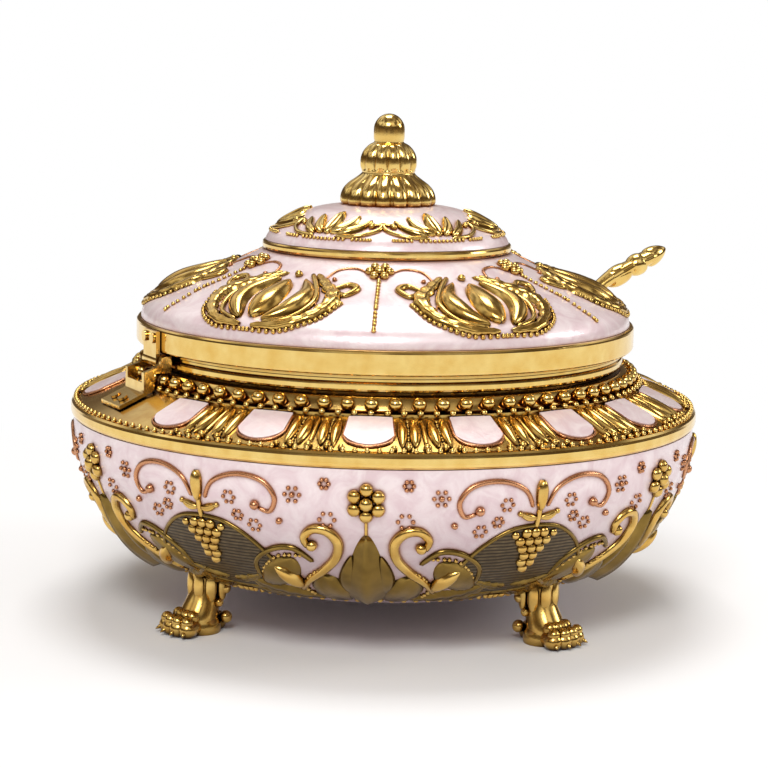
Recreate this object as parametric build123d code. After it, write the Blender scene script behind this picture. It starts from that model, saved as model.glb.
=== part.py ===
"""Round covered sugar pot on four paw feet, with a hinged lid and its spoon.

The pot is a gilt casting with pink enamel. The lower bowl and the shoulder cover meet at a rim band,
a spun inner pot hangs in the neck, and the lid swings on a pin at one side (-X). The spoon leaves
through a notch in the lid at the other side (+X). +Z is up, the origin is on the pot's axis in the
plane of the paws' undersides, and every length is in millimetres.
"""

import os
from math import atan, cos, degrees, radians, sin

from build123d import *

# Bowl, rim and shoulder
bowl_radius = 69.4
bowl_wall = 1.6
bowl_floor_radius = 36.0
bowl_floor_z = 7.5
rim_radius = 70.0
rim_z = 42.3
rim_height = 3.5
rim_width = 3.4
rim_rounding = 1.1
spigot_depth = 2.5
spigot_wall = 1.0
shoulder_wall = 1.4
shoulder_radius = 68.4
shoulder_inner_radius = 57.4
shoulder_rise = 4.9
fit_gap = 0.05

# Neck, collar and inner pot
neck_radius = 51.8
neck_wall = 1.4
neck_flange = 2.6
recess_z = 54.9
collar_radius = 53.3
collar_top_z = 57.2
pot_wall = 1.0
pot_clearance = 0.3
pot_floor_z = 11.3
pot_corner_radius = 14.0
lip_thickness = 0.5

# Lid
lid_gap = 0.2
band_radius = 55.6
band_wall = 2.2
band_bottom_z = 58.7
band_height = 5.2
band_rounding = 0.7
lid_wall = 1.3
lid_outline = [
    (54.6, 64.0), (53.0, 67.5), (50.0, 69.2), (46.0, 71.3), (42.0, 72.9), (32.0, 76.9), (27.4, 79.2),
]
crown_radius = 27.8
crown_band_height = 2.0
crown_outline = [(27.2, 81.3), (26.0, 83.2), (22.0, 85.4), (18.0, 87.7), (14.0, 88.8), (10.0, 89.3)]
locating_wall = 1.0
locating_clearance = 0.7
locating_depth = 2.0

# Finial and its fixing
finial_radius = 10.6
finial_height = 20.2
finial_outline = [
    (1.0, 0.0), (1.0, 1.6), (0.93, 3.8), (0.80, 5.7), (0.60, 6.9), (0.54, 7.4), (0.60, 8.2),
    (0.60, 11.0), (0.47, 12.7), (0.30, 13.4),
]
finial_bead_radius = 3.4
base_flutes = 16
middle_flutes = 12
flute_radius = 0.8
stud_radius = 1.5
stud_clearance = 0.1
stud_engagement = 9.0
washer_radius = 5.0
washer_thickness = 0.6
nut_size = 5.5
nut_height = 2.4

# Ornament around the pot
motif_count = 6
panel_count = 18
panel_width = 10.0
panel_inner_radius = 58.0
panel_outer_radius = 67.0
enamel_thickness = 0.6
bead_count = 72
bead_radius = 1.5
gallery_height = 2.9
bowl_relief = 1.0
bowl_runs = 9
lid_relief = 0.9
motif_low_z = 15.5
fan_leaf = (15.0, 8.6)
fan_turns = [-66.0, -33.0, 0.0, 33.0, 66.0]
scroll_radius = 4.2
scroll_width = 1.6
fan_scroll_reach = 11.0
cartouche_size = (20.0, 11.5)
cartouche_z = 22.4
cartouche_frame = 1.4
grape_radius = 1.3
grape_pitch = 2.7
grape_share = 0.62
grape_row_share = 0.055
boss_seat = 0.1
motif_seat = 0.35
grape_rows = [3, 2, 1]
blade = (14.0, 5.4)
blade_turns = [-34.0, 0.0, 34.0]
blade_foot_radius = 49.0
lyre_centre = (41.5, 10.0)
lyre_radius = 5.6
bead_line_share = 0.74
bead_line_step = 0.062
bead_line_count = 4
line_bead_radius = 0.9
flower_places = [(-3.6, 0.86), (3.6, 0.86), (0.0, 0.91), (0.0, 0.81), (-3.6, 0.8), (3.6, 0.8)]
crown_leaf = (8.5, 4.0)
crown_leaf_turns = [-42.0, 0.0, 42.0]
crown_leaf_foot = 24.6

# Feet
foot_turns = [15.0, 105.0, 195.0, 285.0]
foot_names = ["foot_right_back", "foot_left_back", "foot_left_front", "foot_right_front"]
foot_radius = 50.0
ankle_width = 7.4
paw_width = 9.2
paw_height = 3.6
toe_turns = [-27.0, -9.0, 9.0, 27.0]
toe_radius = 1.9
toe_reach = 7.4
boss_radius = 4.2
boss_top_z = 15.0
screw_radius = 1.3
screw_clearance = 0.1
screw_head_radius = 2.6
screw_head_height = 1.4
screw_end_z = 4.5

# Hinge
pin_x = -55.3
pin_z = 57.0
pin_radius = 0.8
pin_clearance = 0.05
knuckle_radius = 1.5
knuckle_length = 8.0
cheek_thickness = 1.2
cheek_gap = 0.2
pin_head_radius = 1.3
pin_head_height = 0.7
bracket_back_x = -60.0
bracket_sheet = 0.8
bracket_foot_x = -65.5
leaf_sheet = 0.9
leaf_top_z = 63.4
leaf_width = 7.2
rivet_radius = 0.6
rivet_clearance = 0.05
rivet_head_radius = 1.1
rivet_head_height = 0.5
leaf_rivet_spacing = 4.4

# Spoon and its notch
stem_width = 3.4
stem_thickness = 2.4
spoon_rest_gap = 0.25
spoon_lip_gap = 0.8
handle_slope = 24.6
handle_end = (74.6, 77.4)
handle_stations = [
    (0.0, 1.0, 1.0), (0.2, 0.9, 0.95), (0.4, 0.9, 1.0), (0.5, 0.92, 1.0), (0.58, 0.95, 1.0),
    (0.64, 0.97, 1.0), (0.70, 1.0, 1.0), (0.75, 1.05, 1.05), (0.79, 1.15, 1.15), (0.82, 1.4, 1.3),
    (0.85, 1.48, 1.38), (0.885, 1.25, 1.2), (0.905, 1.28, 1.25), (0.925, 1.55, 1.5), (0.95, 1.5, 1.45),
    (0.975, 1.15, 1.1), (0.99, 0.8, 0.8), (1.0, 0.45, 0.5),
]
stem_slope = 45.0
scoop_length = 28.0
scoop_width = 20.0
scoop_depth = 5.2
scoop_sheet = 1.0
notch_width = 8.4
notch_inner_x = 46.4


def solid_of(outline):
    """The solid that a closed outline of (radius, z) points makes about the pot's axis."""
    points = [(0, radius, z) for radius, z in outline]
    return revolve(make_face(Polyline(*points, close=True)), Axis.Z)


def ring(inner_radius, outer_radius, low_z, high_z):
    """A plain ring about the pot's axis."""
    return solid_of([
        (inner_radius, low_z), (outer_radius, low_z), (outer_radius, high_z), (inner_radius, high_z)
    ])


def soft_ring(inner_radius, outer_radius, low_z, high_z, corner):
    """A ring about the pot's axis whose two outer corners are rounded in three flats."""
    leans = [radians(turn) for turn in (0, 30, 60, 90)]
    upper = [
        (outer_radius - corner * (1 - cos(lean)), high_z - corner * (1 - sin(lean))) for lean in leans
    ]
    lower = [(radius, low_z + high_z - z) for radius, z in upper[::-1]]
    return solid_of([(inner_radius, low_z)] + lower + upper + [(inner_radius, high_z)])


def around(shape, turns):
    """Copies of a shape turned about the pot's axis."""
    return [Rot(0, 0, turn) * shape for turn in turns]


def even_turns(count, start=0.0):
    """Equal steps round the pot, in degrees."""
    return [start + 360.0 * step / count for step in range(count)]


def all_solids(shapes):
    """One group of every solid in a list of shapes."""
    return Compound(children=[solid for shape in shapes for solid in shape.solids()])


def shoulder_z(radius):
    """Height of the shoulder's sloping top at a radius."""
    share = (shoulder_radius - radius) / (shoulder_radius - shoulder_inner_radius)
    return rim_z + rim_height + share * shoulder_rise


def bowl_curve(offset):
    """The bowl's side from its floor to the rim, moved out by offset."""
    return Spline(
        (bowl_floor_radius, 0, bowl_floor_z - offset),
        (0.706 * bowl_radius + 0.2 * offset, 0, bowl_floor_z + 3.9 - 0.95 * offset),
        (0.822 * bowl_radius + 0.5 * offset, 0, bowl_floor_z + 8.2 - 0.85 * offset),
        (0.933 * bowl_radius + 0.8 * offset, 0, bowl_floor_z + 16.8 - 0.55 * offset),
        (0.985 * bowl_radius + 0.97 * offset, 0, bowl_floor_z + 25.3 - 0.2 * offset),
        (bowl_radius + offset, 0, rim_z),
        tangents=[(1, 0, 0.08), (0, 0, 1)],
    )


def bowl_filled(offset):
    """Everything inside the bowl's side, moved out by offset."""
    side = bowl_curve(offset)
    low = bowl_floor_z - offset
    edges = [
        Line((0, 0, low), (bowl_floor_radius, 0, low)),
        side,
        Line((bowl_radius + offset, 0, rim_z), (0, 0, rim_z)),
        Line((0, 0, rim_z), (0, 0, low)),
    ]
    return revolve(make_face(Curve() + edges), Axis.Z)


def foot_screw_axis():
    """Where a foot's screw stands, before it is turned to its foot."""
    return Pos(foot_radius, 0, 0)


def lower_bowl():
    """Cast bowl, with a flat boss inside it over each foot."""
    cavity = bowl_filled(-bowl_wall)
    boss = foot_screw_axis() * Pos(0, 0, boss_top_z / 2) * Cylinder(boss_radius, boss_top_z)
    hole = foot_screw_axis() * Pos(0, 0, rim_z / 2) * Cylinder(screw_radius + screw_clearance, rim_z)
    shell = bowl_filled(0) - (cavity - around(boss, foot_turns))
    return shell - around(hole, foot_turns)


def rim_band():
    """Polished band between bowl and shoulder, with a spigot down inside the bowl."""
    inner = rim_radius - rim_width
    low = rim_z + fit_gap
    high = rim_z + rim_height
    band = soft_ring(inner, rim_radius, low, high, rim_rounding)
    spigot_outer = bowl_radius - bowl_wall - 2 * fit_gap - 0.2
    spigot = ring(spigot_outer - spigot_wall, spigot_outer, rim_z - spigot_depth, low + 1.0)
    return band + spigot


def shoulder_cover():
    """Sloping cover from the rim band in to the neck."""
    top = shoulder_z(shoulder_inner_radius)
    foot_z = rim_z + rim_height + fit_gap
    hole = neck_radius + fit_gap
    return solid_of([
        (shoulder_radius, foot_z),
        (shoulder_inner_radius, top),
        (shoulder_inner_radius, top + 0.6),
        (hole, top + 0.6),
        (hole, top + 0.6 - shoulder_wall),
        (shoulder_inner_radius - 0.8, top + 0.6 - shoulder_wall),
        (shoulder_radius - 3.6, foot_z),
    ])


def gallery_z():
    """Top of the shoulder cover's ledge, where the bead gallery stands."""
    return shoulder_z(shoulder_inner_radius) + 0.6


def panel_outline():
    """One enamel panel from above: narrow towards the neck and round at the rim."""
    half = panel_width / 2
    inner_half = half * panel_inner_radius / panel_outer_radius
    straight_end = panel_outer_radius - 0.62 * half
    sides = Polyline(
        (straight_end, -half),
        (panel_inner_radius, -inner_half),
        (panel_inner_radius, inner_half),
        (straight_end, half),
    )
    end = ThreePointArc((straight_end, half), (panel_outer_radius, 0), (straight_end, -half))
    return make_face(sides + end)


def shoulder_enamel():
    """The enamel petals of the shoulder; the one place without is under the hinge's foot."""
    low = shoulder_radius, shoulder_z(shoulder_radius) + fit_gap
    high = shoulder_inner_radius, shoulder_z(shoulder_inner_radius) + fit_gap
    layer = solid_of([
        low, high, (high[0], high[1] + enamel_thickness), (low[0], low[1] + enamel_thickness)
    ])
    prism = Pos(0, 0, rim_z) * extrude(panel_outline(), 4 * shoulder_rise)
    hinge_turn = 180.0
    turns = [turn for turn in even_turns(panel_count) if turn != hinge_turn]
    return all_solids(around(layer & prism, turns))


def bead_gallery():
    """Row of upright beads round the neck, on one ring."""
    low = gallery_z() + fit_gap
    pitch_radius = shoulder_inner_radius - bead_radius - 0.6
    plan = Circle(pitch_radius + 0.4)
    plan += [Rot(0, 0, turn) * Pos(pitch_radius, 0) * Circle(bead_radius) for turn in even_turns(bead_count)]
    plan -= Circle(neck_radius + fit_gap)
    return Pos(0, 0, low) * extrude(plan, gallery_height)


def neck_tube():
    """Plain tube between shoulder and collar; its flange lies under the shoulder cover."""
    flange_top = gallery_z() - shoulder_wall - fit_gap
    bore = neck_radius - neck_wall
    step = neck_radius - neck_wall / 2
    return solid_of([
        (bore, flange_top - 1.2),
        (neck_radius + neck_flange, flange_top - 1.2),
        (neck_radius + neck_flange, flange_top),
        (neck_radius, flange_top),
        (neck_radius, recess_z),
        (step, recess_z),
        (step, collar_top_z),
        (bore, collar_top_z),
    ])


def collar_ring():
    """Polished collar on the step of the neck tube."""
    inner = neck_radius - neck_wall / 2 + fit_gap
    return soft_ring(inner, collar_radius, recess_z + fit_gap, collar_top_z, band_rounding)


def pot_radius():
    """Outer radius of the inner pot."""
    return neck_radius - neck_wall - pot_clearance


def lip_top_z():
    """Top of the inner pot's lip, where the lid comes to rest."""
    return collar_top_z + fit_gap + lip_thickness


def inner_pot():
    """Spun cup that holds the sugar, hung by its lip on the collar."""
    radius = pot_radius()
    low = collar_top_z + fit_gap
    outside = Pos(0, 0, (pot_floor_z + low) / 2) * Cylinder(radius, low - pot_floor_z)
    outside = fillet(outside.edges().group_by(Axis.Z)[0], pot_corner_radius)
    inside_height = low - pot_floor_z
    inside_z = pot_floor_z + pot_wall + inside_height / 2
    inside = Pos(0, 0, inside_z) * Cylinder(radius - pot_wall, inside_height)
    inside = fillet(inside.edges().group_by(Axis.Z)[0], pot_corner_radius - pot_wall)
    lip = ring(radius - pot_wall, collar_radius - 0.3, low, lip_top_z())
    return outside - inside + lip


def leaf(length, width):
    """A pointed leaf that grows from the origin along +Y."""
    left = ThreePointArc((0, 0), (-width / 2, 0.46 * length), (0, length))
    right = ThreePointArc((0, length), (width / 2, 0.46 * length), (0, 0))
    return make_face(left + right)


def scroll(radius, width):
    """A round scroll of one width."""
    return Circle(radius) - Circle(radius - width)


def bowl_motif(plan, turns):
    """A flat motif pressed on to the bowl's side at each turn; its plan is seen from outside."""
    side = bowl_curve(0)
    shares = [step / bowl_runs for step in range(bowl_runs + 1)]
    low = bowl_floor_z - 2 * bowl_relief
    outlines = []
    for stand in (bowl_relief, motif_seat):
        places = [slope_frame(side, share, 0) * Pos(0, 0, stand) for share in shares]
        outlines.append([(place.position.X, place.position.Z) for place in places])
    prism = extrude(Plane.YZ * plan, bowl_radius + 10)
    relief = (prism & stepped_under(outlines[0], low)) - stepped_under(outlines[1], low)
    return all_solids(around(relief, turns))


def slope_frame(curve, share, turn):
    """A place square to a surface whose outline is a curve, at a share of its length and a turn."""
    along = curve % share
    here = Plane(curve @ share, x_dir=(0, 1, 0), z_dir=(along.Z, 0, -along.X))
    return Rot(0, 0, turn) * here


def boss(radius, height):
    """A round boss that stands just clear of the surface under it."""
    return Pos(0, 0, boss_seat + height / 2) * Cylinder(radius, height)


def bowl_fans():
    """Fan of five leaves between two scrolls, at every motif."""
    length, width = fan_leaf
    plan = Sketch()
    for turn in fan_turns:
        plan += Pos(0, motif_low_z) * Rot(0, 0, turn) * leaf(length, width)
    for side in (-1, 1):
        eye = Pos(side * fan_scroll_reach, motif_low_z + 0.72 * length)
        plan += eye * scroll(scroll_radius, scroll_width)
    plan -= Pos(0, motif_low_z - 10) * Rectangle(60, 20)
    return bowl_motif(plan, even_turns(motif_count))


def cartouche_frames():
    """Oval frame round a bunch of grapes, half way between the fans."""
    half_long, half_high = cartouche_size[0] / 2, cartouche_size[1] / 2
    plan = Ellipse(half_long, half_high) - Ellipse(half_long - cartouche_frame, half_high - cartouche_frame)
    half_turn = 180.0 / motif_count
    turns = even_turns(motif_count, half_turn)
    side = bowl_curve(0)
    grapes = []
    for row, count in enumerate(grape_rows):
        for step in range(count):
            across = (step - (count - 1) / 2) * grape_pitch
            place = slope_frame(side, grape_share - row * grape_row_share, across)
            grapes.append(place * boss(grape_radius, bowl_relief))
    frames = bowl_motif(Pos(0, cartouche_z) * plan, turns)
    return all_solids([frames] + [copy for grape in grapes for copy in around(grape, turns)])


def cover_motif(outline, plan, turns):
    """A flat motif pressed on to a sloping cover at each turn; its plan is seen from above."""
    low_z = outline[0][1] - 2
    prism = Pos(0, 0, low_z + 1) * extrude(plan, 3 * (outline[-1][1] - outline[0][1]))
    relief = prism & stepped_under(raised(outline, lid_relief), low_z)
    relief -= stepped_under(raised(outline, motif_seat), low_z)
    return all_solids(around(relief, turns))


def lid_tulips():
    """Three blades between two scrolls, six times round the lid."""
    plan = Sketch()
    for turn in blade_turns:
        plan += Pos(blade_foot_radius, 0) * Rot(0, 0, 90 + turn) * leaf(*blade)
    for side in (-1, 1):
        plan += Pos(lyre_centre[0], side * lyre_centre[1]) * scroll(lyre_radius, scroll_width)
    half_turn = 180.0 / motif_count
    return cover_motif(lid_outline, plan, even_turns(motif_count, half_turn))


def lid_bead_lines():
    """Ball flower and a line of beads from it towards the lid's edge, six times round."""
    slope = smooth(lid_outline)
    bosses = []
    for turn, share in flower_places:
        bosses.append(slope_frame(slope, share, turn) * boss(1.2 * line_bead_radius, lid_relief))
    for step in range(bead_line_count):
        share = bead_line_share - step * bead_line_step
        bosses.append(slope_frame(slope, share, 0) * boss(line_bead_radius, lid_relief))
    return all_solids([copy for one in bosses for copy in around(one, even_turns(motif_count))])


def crown_leaves():
    """Three leaves that stand on the crown's edge, six times round."""
    plan = Sketch()
    for turn in crown_leaf_turns:
        plan += Pos(crown_leaf_foot, 0) * Rot(0, 0, 90 + turn) * leaf(*crown_leaf)
    half_turn = 180.0 / motif_count
    return cover_motif(crown_outline, plan, even_turns(motif_count, half_turn))


def foot_screws():
    """Four screws down through the bowl's bosses into the feet."""
    length = boss_top_z - screw_end_z
    shank = Pos(0, 0, boss_top_z - length / 2) * Cylinder(screw_radius, length)
    head = Pos(0, 0, boss_top_z + screw_head_height / 2) * Cylinder(screw_head_radius, screw_head_height)
    slot = Pos(0, 0, boss_top_z + screw_head_height) * Box(2 * screw_head_radius, 0.7, 1.2)
    return all_solids(around(foot_screw_axis() * (shank + head - slot), foot_turns))


def foot():
    """Lion's paw: ankle, pad, heel and four toes, at the +X side."""
    half = ankle_width / 2
    stations = [
        (18.0, -1.5, 1.3 * half, 1.05 * half),
        (12.0, -0.8, 1.2 * half, half),
        (8.0, 0.6, 1.0 * half, 0.92 * half),
        (4.6, 2.0, 1.15 * half, 1.05 * half),
        (2.0, 2.4, 1.2 * half, 1.1 * half),
    ]
    rings = [Pos(foot_radius + shift, 0, z) * Ellipse(long, wide) for z, shift, long, wide in stations]
    ankle = loft(rings)
    pad = Pos(foot_radius + 2.0, 0, 0.9) * Sphere(paw_width / 2)
    pad &= Pos(foot_radius, 0, 0) * Box(60, 40, 2 * paw_height)
    heel = Pos(foot_radius - 2.4, 0, 1.6) * Sphere(2.3)
    toes = []
    for turn in toe_turns:
        toe = Pos(toe_reach / 2, 0, 0) * Rot(0, 90, 0) * Cylinder(toe_radius, toe_reach)
        toe += Pos(toe_reach, 0, 0) * Sphere(toe_radius)
        toes.append(Pos(foot_radius + 1.2, 0, 1.7) * Rot(0, 0, turn) * toe)
    whole = ankle + pad + heel + toes
    ground = Pos(foot_radius, 0, -5) * Box(60, 40, 10)
    hole_z = screw_end_z - 0.3 + 10
    hole = foot_screw_axis() * Pos(0, 0, hole_z) * Cylinder(screw_radius + screw_clearance, 20)
    return whole - ground - bowl_filled(fit_gap) - hole


def smooth(outline):
    """A smooth curve through an outline of (radius, z) points."""
    return Spline(*[(radius, 0, z) for radius, z in outline])


def filled_under(outline, low_z):
    """Everything under a smooth outline, down to low_z."""
    first, last = outline[0], outline[-1]
    edges = [
        smooth(outline),
        Line((last[0], 0, last[1]), (0, 0, last[1])),
        Line((0, 0, last[1]), (0, 0, low_z)),
        Line((0, 0, low_z), (first[0], 0, low_z)),
    ]
    if low_z < first[1]:
        edges.append(Line((first[0], 0, low_z), (first[0], 0, first[1])))
    return revolve(make_face(Curve() + edges), Axis.Z)


def stepped_under(outline, low_z):
    """Everything under an outline drawn with straight runs, down to low_z."""
    return solid_of([(0, low_z), (outline[0][0], low_z)] + outline + [(0, outline[-1][1])])


def skin(outline, under):
    """The solid between a smooth outline and the smooth outline under it."""
    edges = [
        smooth(outline),
        smooth(under),
        Line((outline[0][0], 0, outline[0][1]), (under[0][0], 0, under[0][1])),
        Line((outline[-1][0], 0, outline[-1][1]), (under[-1][0], 0, under[-1][1])),
    ]
    return revolve(make_face(Curve() + edges), Axis.Z)


def raised(outline, offset):
    """An outline moved straight up by offset."""
    return [(radius, z + offset) for radius, z in outline]


def narrowed(outline, offset):
    """An outline moved towards the axis and down by offset."""
    return [(radius - offset, z - offset) for radius, z in outline]


def notch():
    """The space cut through the lid's edge for the spoon."""
    low = band_bottom_z - 4
    high = band_bottom_z + 16
    far = band_radius + 10
    side = Polyline(
        (notch_inner_x, 0, low), (far, 0, low), (far, 0, high), (notch_inner_x, 0, high), close=True
    )
    width = 2 * degrees(atan(notch_width / 2 / notch_inner_x))
    return Rot(0, 0, -width / 2) * revolve(make_face(side), Axis.Z, revolution_arc=width)


def lid_band():
    """Polished band round the lid's foot."""
    high = band_bottom_z + band_height
    band = soft_ring(band_radius - band_wall, band_radius, band_bottom_z, high, band_rounding)
    return band - notch() - leaf_rivet_holes()


def lid_seat_ring():
    """Ring inside the lid: it rests on the inner pot's lip and its skirt centres the lid."""
    seat = lip_top_z() + lid_gap
    skirt = pot_radius() - pot_wall - locating_clearance
    outer = band_radius - band_wall - fit_gap
    return solid_of([
        (skirt, seat - locating_depth),
        (skirt, seat),
        (outer, seat),
        (outer, seat + 2.4),
        (skirt - locating_wall, seat + 2.4),
        (skirt - locating_wall, seat - locating_depth),
    ]) - notch()


def lid_dome():
    """Enamelled slope of the lid, open in the middle under the crown."""
    low = band_bottom_z + band_height + fit_gap
    outside = [(lid_outline[0][0], low)] + lid_outline[1:]
    under = [(outside[0][0] - 2 * lid_wall, low)] + narrowed(outside[1:], lid_wall)
    return skin(outside, under) - notch()


def crown_band():
    """Polished band where the crown stands on the dome."""
    low = lid_outline[-1][1] + fit_gap
    return soft_ring(lid_outline[-1][0] - lid_wall, crown_radius, low, low + crown_band_height, band_rounding)


def lid_crown():
    """Enamelled crown, closed at its top round the finial's stud."""
    low = lid_outline[-1][1] + crown_band_height + 2 * fit_gap
    outside = [(crown_outline[0][0], low)] + crown_outline[1:]
    under = [(outside[0][0] - 1.2 * lid_wall, low)] + narrowed(outside[1:], lid_wall)
    hole = Pos(0, 0, outside[-1][1]) * Cylinder(stud_radius + stud_clearance, 6 * lid_wall)
    return filled_under(outside, low) - filled_under(under, low - 1) - hole


def finial():
    """Turned and fluted knob in three tiers, bored for its stud."""
    base_z = crown_outline[-1][1] + fit_gap
    points = [(share * finial_radius, base_z + z) for share, z in finial_outline]
    neck_z = points[-1][1]
    body = solid_of([(0, base_z)] + points + [(0, neck_z)])
    for count, share, low, high in [(base_flutes, 1.0, 0.0, 4.6), (middle_flutes, 0.6, 7.6, 11.6)]:
        flute = Cylinder(flute_radius, high - low) + Pos(0, 0, (high - low) / 2) * Sphere(flute_radius)
        flute = Pos(share * finial_radius + 0.25, 0, base_z + (low + high) / 2) * flute
        body -= around(flute, even_turns(count))
    bead_height = finial_height - (neck_z - base_z) - finial_bead_radius
    bead = Pos(0, 0, neck_z + bead_height / 2) * Cylinder(finial_bead_radius, bead_height)
    bead += Pos(0, 0, neck_z + bead_height) * Sphere(finial_bead_radius)
    bore_z = base_z + stud_engagement / 2
    bore = Pos(0, 0, bore_z) * Cylinder(stud_radius + stud_clearance, stud_engagement + 0.2)
    return body + bead - bore


def stud_low_z():
    """Lower end of the finial's stud."""
    return crown_outline[-1][1] - lid_wall - washer_thickness - nut_height - 1.0


def finial_stud():
    """Threaded stud from the finial down through the crown."""
    high = crown_outline[-1][1] + stud_engagement
    low = stud_low_z()
    return Pos(0, 0, (low + high) / 2) * Cylinder(stud_radius, high - low)


def finial_washer():
    """Washer under the crown."""
    high = crown_outline[-1][1] - lid_wall - fit_gap
    return ring(stud_radius + stud_clearance, washer_radius, high - washer_thickness, high)


def finial_nut():
    """Hexagon nut that draws the finial down on the crown."""
    high = crown_outline[-1][1] - lid_wall - washer_thickness - 2 * fit_gap
    plan = RegularPolygon(nut_size / 2, 6, major_radius=False) - Circle(stud_radius + stud_clearance)
    return Pos(0, 0, high - nut_height) * extrude(plan, nut_height)


def pin_axis(shape):
    """A shape built about Z, laid across the pot on the hinge pin's axis."""
    return Pos(pin_x, 0, pin_z) * Rot(90, 0, 0) * shape


def hinge_pin():
    """Pin with a riveted head outside each cheek."""
    half = knuckle_length / 2 + cheek_gap + cheek_thickness
    pin = Cylinder(pin_radius, 2 * half + 2 * fit_gap)
    for side in (-1, 1):
        head_z = side * (half + fit_gap + pin_head_height / 2)
        pin += Pos(0, 0, head_z) * Cylinder(pin_head_radius, pin_head_height)
    return pin_axis(pin)


def bracket_foot_z(x, offset):
    """Height of the hinge bracket's foot above the shoulder at x."""
    return shoulder_z(-x) + 0.3 + offset


def hinge_bracket():
    """Fixed half of the hinge: two cheeks, a back plate and a foot riveted to the shoulder."""
    inner_x = bracket_back_x + bracket_sheet
    front_x = pin_x + knuckle_radius
    arm_low = gallery_z() + gallery_height + fit_gap + 0.5
    cheek = make_face(Polyline(
        (front_x, 0, pin_z + 1.2),
        (pin_x - 0.8, 0, pin_z + 1.2),
        (pin_x - 1.3, 0, pin_z - 0.3),
        (pin_x - 1.9, 0, pin_z - 1.1),
        (bracket_back_x, 0, pin_z - 2.0),
        (bracket_back_x, 0, bracket_foot_z(bracket_back_x, 0)),
        (-shoulder_inner_radius - 0.2, 0, bracket_foot_z(-shoulder_inner_radius - 0.2, 0.3)),
        (-shoulder_inner_radius - 0.2, 0, arm_low),
        (front_x, 0, arm_low),
        close=True,
    ))
    half = knuckle_length / 2 + cheek_gap
    whole = []
    for side in (-1, 1):
        plate = extrude(cheek, cheek_thickness / 2, both=True)
        whole.append(Pos(0, side * (half + cheek_thickness / 2), 0) * plate)
    width = 2 * (half + cheek_thickness)
    back_low = bracket_foot_z(inner_x, 0)
    back_high = pin_z - 4.2
    back = Pos((bracket_back_x + inner_x) / 2, 0, (back_low + back_high) / 2)
    whole.append(back * Box(bracket_sheet, width, back_high - back_low))
    foot_side = make_face(Polyline(
        (inner_x, 0, bracket_foot_z(inner_x, 0)),
        (inner_x, 0, bracket_foot_z(inner_x, bracket_sheet)),
        (bracket_foot_x, 0, bracket_foot_z(bracket_foot_x, bracket_sheet)),
        (bracket_foot_x, 0, bracket_foot_z(bracket_foot_x, 0)),
        close=True,
    ))
    whole.append(extrude(foot_side, width / 2, both=True))
    bracket = whole[0].fuse(*whole[1:])
    bracket -= pin_axis(Cylinder(pin_radius + pin_clearance, 2 * width))
    return bracket - bracket_rivet_holes()


def shoulder_slope():
    """Slope of the shoulder, in degrees."""
    return degrees(atan(shoulder_rise / (shoulder_radius - shoulder_inner_radius)))


def bracket_rivets_at(shape):
    """A shape built about Z, stood square to the shoulder at each rivet of the hinge's foot."""
    x = (bracket_back_x + bracket_foot_x) / 2 - 0.3
    spots = [Pos(x, side * knuckle_length / 4, bracket_foot_z(x, 0)) for side in (-1, 1)]
    return [spot * Rot(0, -shoulder_slope(), 0) * shape for spot in spots]


def bracket_rivet_holes():
    """Holes for the rivets of the hinge's foot."""
    return bracket_rivets_at(Cylinder(rivet_radius + rivet_clearance, 8))


def bracket_rivets():
    """Two rivets through the bracket's foot and the shoulder cover."""
    low = -0.3 - shoulder_wall - 0.6
    high = bracket_sheet + fit_gap
    rivet = Pos(0, 0, (low + high) / 2) * Cylinder(rivet_radius, high - low)
    rivet += Pos(0, 0, high + rivet_head_height / 2) * Cylinder(rivet_head_radius, rivet_head_height)
    return all_solids(bracket_rivets_at(rivet))


def leaf_rivets_at(shape):
    """A shape built about Z, laid radially at each rivet of the lid's leaf."""
    z = band_bottom_z + band_height - 2.0
    spots = [Pos(-band_radius, side * leaf_rivet_spacing / 2, z) for side in (-1, 1)]
    return [spot * Rot(0, -90, 0) * shape for spot in spots]


def leaf_rivet_holes():
    """Holes for the rivets of the lid's leaf."""
    return leaf_rivets_at(Cylinder(rivet_radius + rivet_clearance, 12))


def leaf_back_x():
    """Inner face of the lid's leaf, just clear of the lid's band."""
    return -band_radius - fit_gap - 0.05


def lid_leaf():
    """Moving half of the hinge: a knuckle on the pin and a leaf up the lid's band."""
    back = leaf_back_x()
    low = pin_z + 0.4
    middle = Pos(back - leaf_sheet / 2, 0, (low + leaf_top_z) / 2)
    leaf = middle * Box(leaf_sheet, leaf_width, leaf_top_z - low)
    knuckle = pin_axis(Cylinder(knuckle_radius, knuckle_length))
    whole = leaf + knuckle
    whole -= pin_axis(Cylinder(pin_radius + pin_clearance, 2 * knuckle_length))
    return whole - leaf_rivet_holes()


def leaf_rivets():
    """Two rivets through the leaf and the lid's band."""
    outer = leaf_sheet + 2 * fit_gap + 0.05
    inner = -band_wall + 0.1
    rivet = Pos(0, 0, (outer + inner) / 2) * Cylinder(rivet_radius, outer - inner)
    rivet += Pos(0, 0, outer + rivet_head_height / 2) * Cylinder(rivet_head_radius, rivet_head_height)
    return all_solids(leaf_rivets_at(rivet))


def spoon_path():
    """Centre line of the spoon's stem and handle, from the scoop to the tip."""
    lip_x = pot_radius() - pot_wall
    clear = stem_thickness / 2 + spoon_lip_gap
    lean = radians(stem_slope)
    rest = (lip_x - clear * sin(lean), lip_top_z() + clear * cos(lean))
    scoop_end = scoop_rim_z() + 1.2
    run = rest[1] - scoop_end
    start = (rest[0] - run / (sin(lean) / cos(lean)), scoop_end)
    outside = (56.0, 68.6)
    return start, rest, outside


def scoop_rim_z():
    """Height of the scoop's rim when the spoon lies in the pot."""
    return pot_floor_z + pot_wall + spoon_rest_gap + scoop_depth


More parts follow.
